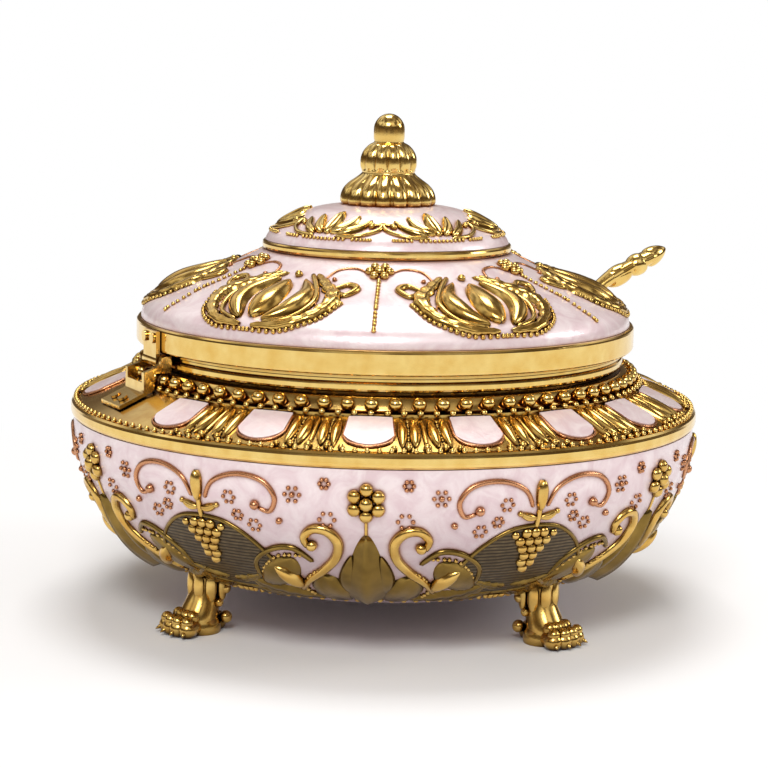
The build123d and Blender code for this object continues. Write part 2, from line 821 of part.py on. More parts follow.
def spoon():
    """Serving spoon with a swan-necked stem and a swelling handle."""
    start, rest, outside = spoon_path()
    lean = radians(stem_slope)
    out = radians(handle_slope)
    path = Spline(
        (start[0], 0, start[1]),
        ((start[0] + rest[0]) / 2, 0, (start[1] + rest[1]) / 2),
        (rest[0], 0, rest[1]),
        (outside[0], 0, outside[1]),
        (handle_end[0], 0, handle_end[1]),
        tangents=[(cos(lean), 0, sin(lean)), (cos(out), 0, sin(out))],
    )
    sections = []
    for share, wide, thick in handle_stations:
        plane = Plane(path @ share, x_dir=(0, 1, 0), z_dir=path % share)
        sections.append(plane * Ellipse(wide * stem_width / 2, thick * stem_thickness / 2))
    stem = loft(sections, ruled=True)
    tip = Pos(*(path @ 1.0)) * Sphere(0.5 * stem_thickness / 2)
    centre = Pos(start[0] - scoop_length / 2 + 0.6, 0, scoop_rim_z())
    outer = centre * scale(Sphere(1), (scoop_length / 2, scoop_width / 2, scoop_depth))
    inner = centre * scale(
        Sphere(1), (scoop_length / 2 - scoop_sheet, scoop_width / 2 - scoop_sheet, scoop_depth - scoop_sheet)
    )
    above = centre * Pos(0, 0, scoop_depth) * Box(2 * scoop_length, 2 * scoop_width, 2 * scoop_depth)
    scoop = outer - inner - above
    join = Pos(start[0] - 0.4, 0, scoop_rim_z() - 0.3) * scale(Sphere(1), (3.4, 2.2, 1.9))
    return stem + (join - inner) + scoop


def main():
    """Write one STEP file for each piece."""
    pieces = {
        "lower_bowl": lower_bowl(),
        "rim_band": rim_band(),
        "shoulder_cover": shoulder_cover() - bracket_rivet_holes(),
        "shoulder_enamel": shoulder_enamel(),
        "bead_gallery": bead_gallery(),
        "neck_tube": neck_tube(),
        "collar_ring": collar_ring(),
        "inner_pot": inner_pot(),
        "bowl_fans": bowl_fans(),
        "cartouche_frames": cartouche_frames(),
        "foot_screws": foot_screws(),
        "lid_band": lid_band(),
        "lid_seat_ring": lid_seat_ring(),
        "lid_dome": lid_dome(),
        "lid_tulips": lid_tulips(),
        "lid_bead_lines": lid_bead_lines(),
        "crown_leaves": crown_leaves(),
        "crown_band": crown_band(),
        "lid_crown": lid_crown(),
        "finial": finial(),
        "finial_stud": finial_stud(),
        "finial_washer": finial_washer(),
        "finial_nut": finial_nut(),
        "hinge_bracket": hinge_bracket(),
        "bracket_rivets": bracket_rivets(),
        "hinge_pin": hinge_pin(),
        "lid_leaf": lid_leaf(),
        "leaf_rivets": leaf_rivets(),
        "spoon": spoon(),
    }
    paw = foot()
    for name, turn in zip(foot_names, foot_turns):
        pieces[name] = Rot(0, 0, turn) * paw
    os.makedirs("parts", exist_ok=True)
    for name, shape in pieces.items():
        export_step(shape, f"parts/{name}.step")


main()
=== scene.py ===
"""Sugar pot: gilt relief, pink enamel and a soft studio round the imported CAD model.

Lengths in the settings are in metres, as Blender keeps them. Inside the relief plans they are in
millimetres: u runs to the right round the pot, v along the surface, and h stands off the surface.
"""

from math import cos, pi, radians, sin, sqrt

import bmesh
import bpy
from mathutils import Matrix, Vector
from mathutils.bvhtree import BVHTree


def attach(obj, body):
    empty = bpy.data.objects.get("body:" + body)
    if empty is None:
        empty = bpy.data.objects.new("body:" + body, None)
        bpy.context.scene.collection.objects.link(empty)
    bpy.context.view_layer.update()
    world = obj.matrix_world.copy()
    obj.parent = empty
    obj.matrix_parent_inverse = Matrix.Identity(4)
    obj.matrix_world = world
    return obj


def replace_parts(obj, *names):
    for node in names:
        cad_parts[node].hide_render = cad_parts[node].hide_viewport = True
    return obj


bl_info = {
    "name": "Sugar pot",
    "version": (1, 0, 0),
    "blender": (4, 5, 0),
    "location": "3D View > Sidebar > Sugar pot",
    "description": "Builds the relief, materials and studio of an enamelled sugar pot",
    "category": "Add Mesh",
}

MM = 0.001

# Where the rays that read a surface start, in metres; they are turned away from the lid's notch.
RAY_RADIUS = 0.09
RAY_HEIGHT = 0.12
RAY_TURN = radians(8)
# Height of the pot's middle and depth of a relief's lower edge in its surface, in millimetres.
MIDDLE_HEIGHT = 45.0
SINK = 0.05

# Nodes that have a finish of their own; all others are polished gold plate.
FINISHES = {
    "Pearl enamel, pink": ("lower_bowl", "shoulder_enamel", "lid_dome", "lid_crown"),
    "Zinc-plated steel": ("foot_screws", "finial_stud", "finial_washer", "finial_nut"),
    "Gold plate, relief with painted shade": (
        "shoulder_cover", "neck_tube", "foot_left_front", "foot_right_front",
        "foot_left_back", "foot_right_back",
    ),
}

# Turns in degrees: the feet round the pot, then a foot's toes and the leaves round its ankle.
FOOT_TURNS = (15, 105, 195, 285)
TOE_TURNS = (-27, -9, 9, 27)
ANKLE_TURNS = (-100, -60, -20, 20, 60, 100)

# Name, place and size in metres, and power in watts, of each lamp; all look at one point.
LAMPS = (
    ("key_lamp", (-0.5, -0.7, 0.8), 0.4, 5.6),
    ("fill_lamp", (0.85, -0.35, 0.45), 0.3, 1.8),
    ("top_lamp", (0.1, 0.25, 1.0), 0.4, 4.2),
)
LAMP_AIM = Vector((0, 0, 0.05))

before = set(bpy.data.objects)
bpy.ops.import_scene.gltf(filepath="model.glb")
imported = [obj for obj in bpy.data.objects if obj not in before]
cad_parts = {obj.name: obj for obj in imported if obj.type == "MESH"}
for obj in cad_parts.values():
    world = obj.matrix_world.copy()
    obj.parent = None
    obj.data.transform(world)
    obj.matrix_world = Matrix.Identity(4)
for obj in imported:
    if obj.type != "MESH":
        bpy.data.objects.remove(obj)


# Small mathematics


def catmull_rom(before, start, end, after, t):
    """Value at the share t of the way from start to end, on the curve through all four."""
    return 0.5 * (
        2 * start
        + (end - before) * t
        + (2 * before - 5 * start + 4 * end - after) * t**2
        + (3 * start - before - 3 * end + after) * t**3
    )


def smooth_path(points, steps):
    """Points along a smooth curve through the given ones; any number of coordinates each."""
    ends = [points[0]] + list(points) + [points[-1]]
    path = []
    for i in range(len(points) - 1):
        for step in range(steps):
            values = zip(*ends[i : i + 4])
            path.append(tuple(catmull_rom(*four, step / steps) for four in values))
    path.append(tuple(points[-1]))
    return path


def to_side(side, points):
    """A plan's path (side 1), or its mirror image about the plan's middle line (side -1)."""
    return [(side * u, v) for u, v in points]


def even_turns(count, start=0.0):
    """Equal steps round the pot, in radians."""
    return [radians(start) + 2 * pi * step / count for step in range(count)]


# Surfaces of the CAD model, for seating relief on them


class Surface:
    """Profile of a turned CAD node: radius, height and slope by the length v along it."""

    def __init__(self, node, rays):
        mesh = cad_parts[node].data
        work = bmesh.new()
        work.from_mesh(mesh)
        tree = BVHTree.FromBMesh(work)
        work.free()
        turn = Matrix.Rotation(RAY_TURN, 3, "Z")
        self.points = []
        for origin, direction in rays:
            hit = tree.ray_cast(turn @ Vector(origin), turn @ Vector(direction))[0]
            if hit is not None:
                self.points.append((Vector((hit.x, hit.y)).length / MM, hit.z / MM))
        self.lengths = [0.0]
        for here, there in zip(self.points, self.points[1:]):
            self.lengths.append(
                self.lengths[-1] + sqrt((there[0] - here[0]) ** 2 + (there[1] - here[1]) ** 2)
            )

    def at(self, v):
        """(radius, height, outward slope, upward slope) at the length v."""
        v = min(max(v, 0.0), self.lengths[-1])
        i = 1
        while i < len(self.lengths) - 1 and self.lengths[i] < v:
            i += 1
        span = self.lengths[i] - self.lengths[i - 1]
        share = (v - self.lengths[i - 1]) / span
        low, high = self.points[i - 1], self.points[i]
        back, ahead = self.points[max(i - 3, 0)], self.points[min(i + 2, len(self.points) - 1)]
        along_r, along_z = ahead[0] - back[0], ahead[1] - back[1]
        size = sqrt(along_r**2 + along_z**2)
        outward = (-along_z / size, along_r / size)
        if self.faces_in(outward, low):
            outward = (-outward[0], -outward[1])
        radius = low[0] + share * (high[0] - low[0])
        height = low[1] + share * (high[1] - low[1])
        return radius, height, outward[0], outward[1]

    def faces_in(self, outward, point):
        """True if a slope points to the middle of the pot."""
        return outward[0] * point[0] + outward[1] * (point[1] - MIDDLE_HEIGHT) < 0

    def wrap(self, plan, turn):
        """A plan point (u, v, h) in millimetres, put on the surface at a turn, in metres."""
        u, v, h = plan
        radius, z, out, up = self.at(v)
        angle = turn + u / radius
        reach = radius + h * out
        return Vector((reach * cos(angle), reach * sin(angle), z + h * up)) * MM


def side_rays(high, low, count):
    """Level rays at the pot's side, from one height down to another, in metres."""
    step = (low - high) / (count - 1)
    return [((RAY_RADIUS, 0, high + i * step), (-1, 0, 0)) for i in range(count)]


def top_rays(inner, outer, count):
    """Upright rays down on a cover, from one radius out to another, in metres."""
    step = (outer - inner) / (count - 1)
    return [((inner + i * step, 0, RAY_HEIGHT), (0, 0, -1)) for i in range(count)]


# Relief in plan


class Relief:
    """Relief drawn flat, then wrapped on a surface as often as it repeats."""

    def __init__(self):
        self.points = []
        self.faces = []

    def grid(self, rows, closed=False):
        """Faces between rows of plan points."""
        start = len(self.points)
        width = len(rows[0])
        for row in rows:
            self.points.extend(row)
        for i in range(len(rows) - 1):
            for j in range(width if closed else width - 1):
                k = (j + 1) % width
                a, b = start + i * width, start + (i + 1) * width
                self.faces.append((a + j, a + k, b + k, b + j))

    def tube(self, path, radius, taper=0.5, steps=6, lift=0.25, sides=8):
        """Round wire along a path, thinner towards its ends."""
        line = smooth_path(path, steps)
        rows = []
        for i, (u, v) in enumerate(line):
            share = i / (len(line) - 1)
            size = radius * 0.05
            if 0 < share < 1:
                size = radius * (taper + (1 - taper) * sin(pi * share) ** 0.5)
            across = self.across(line, i)
            row = []
            for j in range(sides):
                angle = 2 * pi * j / sides
                row.append((
                    u + across[0] * size * cos(angle),
                    v + across[1] * size * cos(angle),
                    size * (sin(angle) + lift),
                ))
            rows.append(row)
        self.grid(rows, closed=True)

    def across(self, line, i):
        """Unit vector across a path at one of its points."""
        back, ahead = line[max(i - 1, 0)], line[min(i + 1, len(line) - 1)]
        du, dv = ahead[0] - back[0], ahead[1] - back[1]
        size = sqrt(du * du + dv * dv) or 1.0
        return -dv / size, du / size

    def leaf(
        self, path, width, height, lobes=0, groove=0.35, fullest=0.4, steps=8, ends=0.08, crest=2.0
    ):
        """Leaf along a path: widest at its fullest share, grooved, and folded if crest is 1."""
        line = smooth_path(path, steps)
        rows = []
        for i, (u, v) in enumerate(line):
            share = i / (len(line) - 1)
            swell = share / fullest if share < fullest else (1 - share) / (1 - fullest)
            size = width / 2 * (ends + (1 - ends) * sin(pi / 2 * max(swell, 0.0)) ** 0.8)
            if lobes:
                size *= 1 - 0.26 * (0.5 + 0.5 * cos(2 * pi * lobes * share))
            across = self.across(line, i)
            row = []
            for j in range(9):
                t = j / 4 - 1
                ridge = (1 - abs(t) ** crest) ** (1 / crest)
                dip = groove * max(0.0, 1 - abs(t) / 0.3)
                stand = height * (0.35 + 0.65 * min(size / (width / 2), 1)) * (ridge - dip * ridge)
                row.append((u + across[0] * size * t, v + across[1] * size * t, stand - SINK))
            rows.append(row)
        self.grid(rows)

    def ball(self, u, v, radius, squash=1.0, lift=0.35, sides=10, rings=6):
        """Ball, or a boss where it is squashed, part sunk in the surface."""
        rows = []
        for i in range(rings + 1):
            tip = pi * i / rings
            rows.append([
                (
                    u + radius * sin(tip) * cos(2 * pi * j / sides),
                    v + radius * sin(tip) * sin(2 * pi * j / sides),
                    radius * squash * (cos(tip) + lift),
                )
                for j in range(sides)
            ])
        self.grid(rows, closed=True)

    def row(self, path, radius, count):
        """Row of equal balls along a path."""
        line = smooth_path(path, 12)
        for i in range(count):
            u, v = line[round(i * (len(line) - 1) / max(count - 1, 1))]
            self.ball(u, v, radius, sides=8, rings=5)

    def plate(self, outline, height):
        """Flat-topped plate with a rounded edge inside a closed outline."""
        middle_u = sum(p[0] for p in outline) / len(outline)
        middle_v = sum(p[1] for p in outline) / len(outline)
        rows = []
        for share, stand in (
            (1.0, -SINK), (0.985, 0.7 * height), (0.95, height), (0.7, height),
            (0.35, height), (0.02, height),
        ):
            rows.append([
                (middle_u + share * (u - middle_u), middle_v + share * (v - middle_v), stand)
                for u, v in outline
            ])
        self.grid(rows, closed=True)

    def make(self, name, surface, turns, material, body):
        """One mesh of the relief at every turn, riding on a CAD body."""
        work = bmesh.new()
        for turn in turns:
            points = [work.verts.new(surface.wrap(point, turn)) for point in self.points]
            for face in self.faces:
                work.faces.new([points[i] for i in face])
        bmesh.ops.remove_doubles(work, verts=work.verts, dist=1e-6)
        bmesh.ops.recalc_face_normals(work, faces=work.faces)
        return finished(work, name, material, body)


def finished(work, name, material, body):
    """The mesh of a bmesh as a smooth object that rides on a CAD body."""
    mesh = bpy.data.meshes.new(name)
    work.to_mesh(mesh)
    work.free()
    for face in mesh.polygons:
        face.use_smooth = True
    piece = bpy.data.objects.new(name, mesh)
    bpy.context.scene.collection.objects.link(piece)
    mesh.materials.append(material)
    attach(piece, body)
    return piece


def skin(work, rows, caps=True):
    """Faces between closed rows of vertices, with a cap on each end."""
    for here, there in zip(rows, rows[1:]):
        for j in range(len(here)):
            k = (j + 1) % len(here)
            work.faces.new((here[j], here[k], there[k], there[j]))
    if caps:
        work.faces.new(rows[-1])
        work.faces.new(rows[0][::-1])


def turned(name, outline, material, body, steps=160):
    """Ring turned about the pot's axis from a closed outline of (radius, z) in millimetres."""
    work = bmesh.new()
    rows = [
        [work.verts.new(Vector((r * cos(turn), r * sin(turn), z)) * MM) for r, z in outline]
        for turn in even_turns(steps)
    ]
    skin(work, rows + rows[:1], caps=False)
    bmesh.ops.recalc_face_normals(work, faces=work.faces)
    return finished(work, name, material, body)


def fluted(name, tiers, material, body, steps=192):
    """Turned piece about the pot's axis from (z, radius, flutes, depth) stations in millimetres."""
    work = bmesh.new()
    rows = []
    for z, radius, flutes, depth in tiers:
        row = []
        for turn in even_turns(steps):
            lobe = abs(sin(flutes * turn / 2)) ** 0.7 if flutes else 1.0
            reach = radius - depth * (1 - lobe)
            row.append(work.verts.new(Vector((reach * cos(turn), reach * sin(turn), z)) * MM))
        rows.append(row)
    skin(work, rows)
    return finished(work, name, material, body)


def rod(name, start, end, stations, material, body, steps=24):
    """Round turned rod from one point to another; stations are (share, radius), in millimetres."""
    work = bmesh.new()
    line = Vector(end) - Vector(start)
    lean = line.to_track_quat("Z", "Y").to_matrix()
    rows = []
    for share, radius in stations:
        middle = Vector(start) + share * line
        row = []
        for turn in even_turns(steps):
            spoke = lean @ Vector((radius * cos(turn), radius * sin(turn), 0))
            row.append(work.verts.new((middle + spoke) * MM))
        rows.append(row)
    skin(work, rows)
    bmesh.ops.recalc_face_normals(work, faces=work.faces)
    return finished(work, name, material, body)


def shift(x, y, z):
    """Matrix of a move in millimetres."""
    return Matrix.Translation(Vector((x, y, z)) * MM)


def add_ball(work, radius, place, segments=12, rings=8):
    """Ball of a radius in millimetres."""
    bmesh.ops.create_uvsphere(
        work, u_segments=segments, v_segments=rings, radius=radius * MM, matrix=place
    )


def ball_circle(name, count, radius, ring_radius, z, material, body):
    """Row of balls round the pot."""
    work = bmesh.new()
    for turn in even_turns(count):
        place = shift(ring_radius * cos(turn), ring_radius * sin(turn), z)
        add_ball(work, radius, place, segments=14, rings=9)
    return finished(work, name, material, body)


# Materials


def linear(colour):
    """An sRGB hex colour as linear red, green, blue and alpha."""
    parts = [int(colour[i : i + 2], 16) / 255 for i in (1, 3, 5)]
    return [c / 12.92 if c <= 0.04045 else ((c + 0.055) / 1.055) ** 2.4 for c in parts] + [1.0]


def add_node(tree, kind, settings=None, links=None):
    """A shader node with its properties, input values and incoming links set."""
    node = tree.nodes.new(kind)
    for key, value in (settings or {}).items():
        if isinstance(key, str) and hasattr(node, key) and key not in node.inputs:
            setattr(node, key, value)
        else:
            node.inputs[key].default_value = value
    for key, socket in (links or {}).items():
        tree.links.new(socket, node.inputs[key])
    return node


def noise(tree, vector, scale, settings):
    """Noise of a scale along a vector."""
    settings = {"Scale": scale, **settings}
    return add_node(tree, "ShaderNodeTexNoise", settings, {"Vector": vector}).outputs["Fac"]


def remap(tree, value, settings):
    """A value moved from one range to another."""
    return add_node(tree, "ShaderNodeMapRange", settings, {"Value": value}).outputs["Result"]


def openness(tree, reach):
    """How open a point is: 1 on high spots, less where other faces are within the reach."""
    settings = {"samples": 8, "Distance": reach}
    return add_node(tree, "ShaderNodeAmbientOcclusion", settings).outputs["AO"]


def bump(tree, height, strength, distance):
    """Normal of a surface with a fine height on it."""
    settings = {"Strength": strength, "Distance": distance}
    return add_node(tree, "ShaderNodeBump", settings, {"Height": height}).outputs["Normal"]


def mix(tree, share, first, second):
    """Two colours mixed by a share; each is an sRGB hex colour, a linear one or a socket."""
    # On a Mix node that is set to colours, they are inputs 6 and 7, and their mix is output 2.
    settings, links = {"data_type": "RGBA"}, {0: share}
    for key, colour in ((6, first), (7, second)):
        if isinstance(colour, bpy.types.NodeSocket):
            links[key] = colour
        else:
            settings[key] = linear(colour) if isinstance(colour, str) else colour
    return add_node(tree, "ShaderNodeMix", settings, links).outputs[2]


def new_material(name):
    """An empty node material, its tree, and the socket of places on the piece."""
    material = bpy.data.materials.new(name)
    material.use_nodes = True
    tree = material.node_tree
    tree.nodes.clear()
    return material, tree, add_node(tree, "ShaderNodeTexCoord").outputs["Object"]


def show(tree, settings, links):
    """Make a principled surface the material's output."""
    surface = add_node(tree, "ShaderNodeBsdfPrincipled", settings, links)
    add_node(tree, "ShaderNodeOutputMaterial", None, {"Surface": surface.outputs["BSDF"]})


def plated(name, bright, middle, recess_shade, roughness, reach):
    """Polished plate on a cast surface with painted shade: bright on high spots, darker and redder
    in recesses.
    """
    material, tree, place = new_material(name)
    # Casting and hand polishing leave soft waves about 4 mm long and a grain of about 0.4 mm.
    waves = noise(tree, place, 1 / (4 * MM), {"Detail": 2.0})
    grain = noise(tree, place, 1 / (0.4 * MM), {"Detail": 3.0})
    # Painted shade: the colour falls to the recess shade where other faces are within the reach.
    painted_shade_share = remap(tree, openness(tree, reach), {"From Min": 0.25, "From Max": 0.85})
    high = mix(tree, waves, middle, bright)
    dull = {"To Min": roughness * 0.8, "To Max": roughness * 1.35}
    show(tree, {"Metallic": 1.0}, {
        "Base Color": mix(tree, painted_shade_share, recess_shade, high),
        "Roughness": remap(tree, grain, dull),
        "Normal": bump(tree, grain, 0.18, 0.02 * MM),
    })


def pearl_enamel(name, pale, deep, edge, foot):
    """Pearl enamel under a clear coat: cloudy, rose within about 1 mm of the gilding, and darkened
    towards the foot of the bowl as painted shade.
    """
    material, tree, place = new_material(name)
    # The clouds of a hand-laid enamel are about 7 mm across, and its brush marks about 2 mm.
    large = {"Detail": 4.0, "Roughness": 0.6, "Distortion": 1.4}
    clouds = noise(tree, place, 1 / (7 * MM), large)
    marks = noise(tree, place, 1 / (2 * MM), {"Detail": 3.0, "Distortion": 2.0})
    spread = remap(tree, clouds, {"From Min": 0.35, "From Max": 0.65})
    body = mix(tree, spread, deep, pale)
    # Painted shade at the foot of the bowl: the enamel darkens from none at 38 mm up to most at 14
    # mm.
    height = add_node(tree, "ShaderNodeSeparateXYZ", None, {"Vector": place}).outputs["Z"]
    fall = {"From Min": 38 * MM, "From Max": 14 * MM, "To Min": 0.0, "To Max": 0.75}
    shade_painted = mix(tree, remap(tree, height, fall), body, foot)
    # It turns rose within about 1 mm of what stands on it.
    near_relief = remap(tree, openness(tree, 1.1 * MM), {"From Min": 0.55, "From Max": 0.9})
    coated = {
        "Roughness": 0.34, "Coat Weight": 0.4, "Coat Roughness": 0.16, "Metallic": 0.2, "IOR": 1.5,
    }
    show(tree, coated, {
        "Base Color": mix(tree, near_relief, edge, shade_painted),
        "Normal": bump(tree, marks, 0.5, 0.12 * MM),
    })


def hatched_metal(name, dark, light, spacing):
    """Metal darkened as painted shade, under fine engraved hatching."""
    material, tree, place = new_material(name)
    waves = {
        "Scale": 1 / (6 * spacing), "Distortion": 1.2, "Detail": 1.0, "bands_direction": "Z",
    }
    lines = add_node(tree, "ShaderNodeTexWave", waves, {"Vector": place}).outputs["Fac"]
    blotch = noise(tree, place, 1 / (1.5 * MM), {"Detail": 4.0})
    share = add_node(tree, "ShaderNodeMath", {"operation": "MULTIPLY"}, {0: lines, 1: blotch})
    show(tree, {"Metallic": 0.75, "Roughness": 0.42}, {
        "Base Color": mix(tree, share.outputs["Value"], dark, light),
        "Normal": bump(tree, lines, 0.5, 0.1 * MM),
    })


def material_set(settings):
    """Every material of the pot, made once."""
    if "Gold plate, polished" not in bpy.data.materials:
        gold = settings.gold_colour
        # Bright yellow plate, with amber and brown painted shade in its recesses.
        plated("Gold plate, polished", gold, "#E0AE4C", "#7C450C", 0.13, 2.6 * MM)
        # The same plate on cast relief, with darker painted shade left in the low parts.
        plated("Gold plate, relief with painted shade", "#F3D380", "#C08A32", "#3E2206", 0.18, 2.6 * MM)
        # A darker copy of the plate as painted shade on the underside of the bowl: olive brown,
        # bright only on its edges.
        plated("Gold plate, painted underside shade", "#A88A48", "#5F4A22", "#140E06", 0.2, 3.0 * MM)
        # Rose plate on the fine wires round the enamel.
        plated("Rose gold wire", "#DFA67E", "#B97B50", "#6B3A20", 0.25, 1.2 * MM)
        # Zinc plate on the hidden screws: grey and a little cloudy.
        plated("Zinc-plated steel", "#C9CDD0", "#AEB3B8", "#5A5E62", 0.35, 1.5 * MM)
        # Pale pink, rose at the gilding, darkened as painted shade towards the foot, with a glassy
        # highlight.
        pearl_enamel(
            "Pearl enamel, pink", settings.enamel_colour, "#E9D0D4", "#B4806A", "#A08A94"
        )
        # Dark taupe ground that reads as shade behind the gilt frames.
        hatched_metal("Hatched ground, painted shade", "#3A3026", "#8F7C5C", 0.4 * MM)
    return bpy.data.materials


def repaint(node, material):
    """Give a CAD node a material and smooth shading over its gentle edges."""
    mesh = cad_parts[node].data
    mesh.materials.clear()
    mesh.materials.append(material)
    if "custom_normal" in mesh.attributes:
        mesh.attributes.remove(mesh.attributes["custom_normal"])
    mesh.shade_smooth()
    mesh.set_sharp_from_angle(angle=radians(32))


# Settings


class POT_PG_settings(bpy.types.PropertyGroup):
    """What a user may change."""

    motifs: bpy.props.IntProperty(
        name="Motifs", description="Repeats of each motif round the pot", default=6, min=3, max=8
    )
    beads: bpy.props.IntProperty(
        name="Gallery beads",
        description="Balls in the row round the neck",
        default=72,
        min=24,
        max=96,
    )
    petals: bpy.props.IntProperty(
        name="Petals", description="Enamel petals on the shoulder", default=18, min=9, max=24
    )
    gold_colour: bpy.props.FloatVectorProperty(
        name="Gold",
        description="Colour of the polished plate on its high spots",
        default=linear("#FADF92"),
        size=4,
        min=0.0,
        max=1.0,
        subtype="COLOR",
    )
    enamel_colour: bpy.props.FloatVectorProperty(
        name="Enamel",
        description="Colour of the enamel in its pale clouds",
        default=linear("#F9E9EA"),
        size=4,
        min=0.0,
        max=1.0,
        subtype="COLOR",
    )
    view_distance: bpy.props.FloatProperty(
        name="Distance",
        description="Level distance from the camera to the pot's axis",
        default=0.5,
        unit="LENGTH",
    )
    view_height: bpy.props.FloatProperty(
        name="Height",
        description="Height of the camera over the table",
        default=0.126,
        unit="LENGTH",
    )
    view_turn: bpy.props.FloatProperty(
        name="Turn",
        description="Turn of the camera round the pot",
        default=radians(-27.5),
        subtype="ANGLE",
    )
    aim_height: bpy.props.FloatProperty(
        name="Aim",
        description="Height on the axis that the camera looks at",
        default=0.0487,
        unit="LENGTH",
    )
    lens: bpy.props.FloatProperty(
        name="Lens", description="Focal length in millimetres", default=105.0
    )
    roll: bpy.props.FloatProperty(
        name="Roll", description="Tilt of the camera", default=radians(1.2), subtype="ANGLE"
    )


# Operators


class POT_OT_finishes(bpy.types.Operator):
    """Give every CAD node its material"""

    bl_idname = "sugar_pot.finishes"
    bl_label = "Finishes"

    def execute(self, context):
        materials = material_set(context.scene.sugar_pot)
        finish = {node: name for name, nodes in FINISHES.items() for node in nodes}
        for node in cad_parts:
            repaint(node, materials[finish.get(node, "Gold plate, polished")])
        return {"FINISHED"}


class POT_OT_bowl(bpy.types.Operator):
    """Relief on the bowl: fans, cartouches, plumes and tendrils"""

    bl_idname = "sugar_pot.bowl"
    bl_label = "Bowl relief"

    def execute(self, context):
        settings = context.scene.sugar_pot
        materials = material_set(settings)
        bowl = Surface("lower_bowl", side_rays(0.0420, 0.0112, 90))
        fan_turns = even_turns(settings.motifs)
        between = even_turns(settings.motifs, 180 / settings.motifs)
        # The fans and cartouche frames low on the bowl take the darker plate, painted shade for the
        # underside.
        dark = materials["Gold plate, painted underside shade"]
        gold = materials["Gold plate, relief with painted shade"]
        for name, plan, turns, material, node in (
            ("bowl_fan_relief", self.fan, fan_turns, dark, "bowl_fans"),
            ("bowl_fan_gilding", self.fan_gilding, fan_turns, gold, None),
            ("cartouche_relief", self.cartouche, between, dark, "cartouche_frames"),
            ("cartouche_grapes", self.grapes, between, gold, None),
            ("bowl_plume_relief", self.plume, between, gold, None),
            ("bowl_scrolls", self.scrolls, between, materials["Rose gold wire"], None),
            ("bowl_florets", self.florets, fan_turns, materials["Rose gold wire"], None),
        ):
            relief = Relief()
            plan(relief)
            piece = relief.make(name, bowl, turns, material, "pot")
            if node:
                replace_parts(piece, node)
        # The cartouche ground is a dark hatched plate, painted shade behind the frames.
        ground = Relief()
        ground.plate(self.shield(), 0.3)
        ground.make("cartouche_ground", bowl, between, materials["Hatched ground, painted shade"], "pot")
        return {"FINISHED"}

    def fan(self, relief):
        """Pleated leaf between horns, dark lobes and acanthus fronds, over a beaded border."""
        relief.leaf(
            [(0, 34.0), (0, 28), (0, 21.0), (0, 13.6)],
            width=12.0, height=2.8, groove=0, fullest=0.03, ends=0.04, crest=1.0,
        )
        for side in (1, -1):
            relief.leaf(
                to_side(side, [(3.2, 33), (4.0, 26), (3.0, 19.0)]),
                width=3.6, height=1.2, groove=0,
            )
            relief.leaf(
                to_side(side, [(3.6, 38), (7.0, 32), (9.2, 25.0)]),
                width=8.4, height=1.7, groove=0.2, fullest=0.5,
            )
            relief.leaf(
                to_side(side, [(21.0, 31.5), (18.0, 26), (15.0, 20.6)]),
                width=8.8, height=1.2, groove=0.2, fullest=0.5,
            )
            relief.leaf(
                to_side(side, [(8, 38), (15, 35.6), (21, 32.4), (25.6, 28.0)]),
                width=6.0, height=1.4, lobes=6,
            )
            relief.leaf(
                to_side(side, [(14, 38.5), (20, 37.4), (26, 34.6)]),
                width=5.0, height=1.2, lobes=4,
            )
            relief.tube(
                to_side(side, [
                    (10.6, 21.4), (14.8, 17.8), (19.6, 18.6), (23.0, 22.6), (22.0, 28.6),
                ]),
                radius=0.7,
            )
        relief.tube([(-26.6, 37.0), (0, 37.0), (26.6, 37.0)], radius=0.55, taper=1.0)

    def fan_gilding(self, relief):
        """The bright parts of a fan: rosette, horns, buds and rows of balls."""
        relief.ball(0, 6.4, 1.5, 1.1)
        for turn in even_turns(6, 30):
            relief.ball(2.7 * cos(turn), 6.4 + 2.7 * sin(turn), 1.45, 0.8)
        relief.tube([(0, 9.6), (0, 12.0), (0, 14.2)], radius=0.34, taper=0.8)
        relief.row([(0, 34), (0, 25), (0, 15.4)], radius=0.62, count=16)
        for side in (1, -1):
            horn = to_side(side, [
                (13.4, 32.5), (11.8, 27.6), (8.6, 23.4), (6.1, 19.6), (5.6, 15.8), (7.6, 13.0),
                (10.6, 12.6), (12.5, 14.8), (11.6, 17.2),
            ])
            relief.tube(horn, radius=1.1, taper=0.5)
            relief.ball(10.9 * side, 16.6, 1.2)
            relief.leaf(
                to_side(side, [(12.8, 29.6), (15.8, 25.8), (18.8, 22.8)]),
                width=3.2, height=2.3, groove=0, fullest=0.5,
            )
            relief.row(
                to_side(side, [(6.6, 21.5), (11.2, 25.4), (12.8, 30.5), (10.6, 36.4)]),
                radius=0.55, count=15,
            )
            relief.row(
                to_side(side, [(13.4, 19.6), (18.4, 20.4), (21.6, 25.2), (20.4, 31.0)]),
                radius=0.48, count=14,
            )
        relief.row([(-26.2, 38.5), (0, 38.5), (26.2, 38.5)], radius=0.78, count=31)

    def plume(self, relief):
        """Long bud on a pair of small leaves."""
        relief.leaf(
            [(0, 8.6), (0, 6.0), (0, 2.4)],
            width=2.7, height=1.6, groove=0, fullest=0.68, ends=0.3,
        )
        for side in (1, -1):
            relief.leaf(
                to_side(side, [(0.3, 10.4), (2.2, 10.2), (4.2, 9.3)]),
                width=1.9, height=1.1, fullest=0.5,
            )
            relief.ball(4.3 * side, 9.3, 0.6)
        relief.tube([(0, 8.0), (0, 10.4), (0, 12.8)], radius=0.6, taper=0.8)

    def shield(self):
        """Outline of a cartouche's ground."""
        half = [
            (0, 12.2), (4.8, 12.8), (8.8, 15.0), (12.2, 18.6), (14.2, 23.0), (13.6, 27.4),
            (10.6, 31.6), (5.4, 34.4), (0, 35.4),
        ]
        right = smooth_path(half, 4)
        return right + [(-u, v) for u, v in reversed(right[1:-1])]

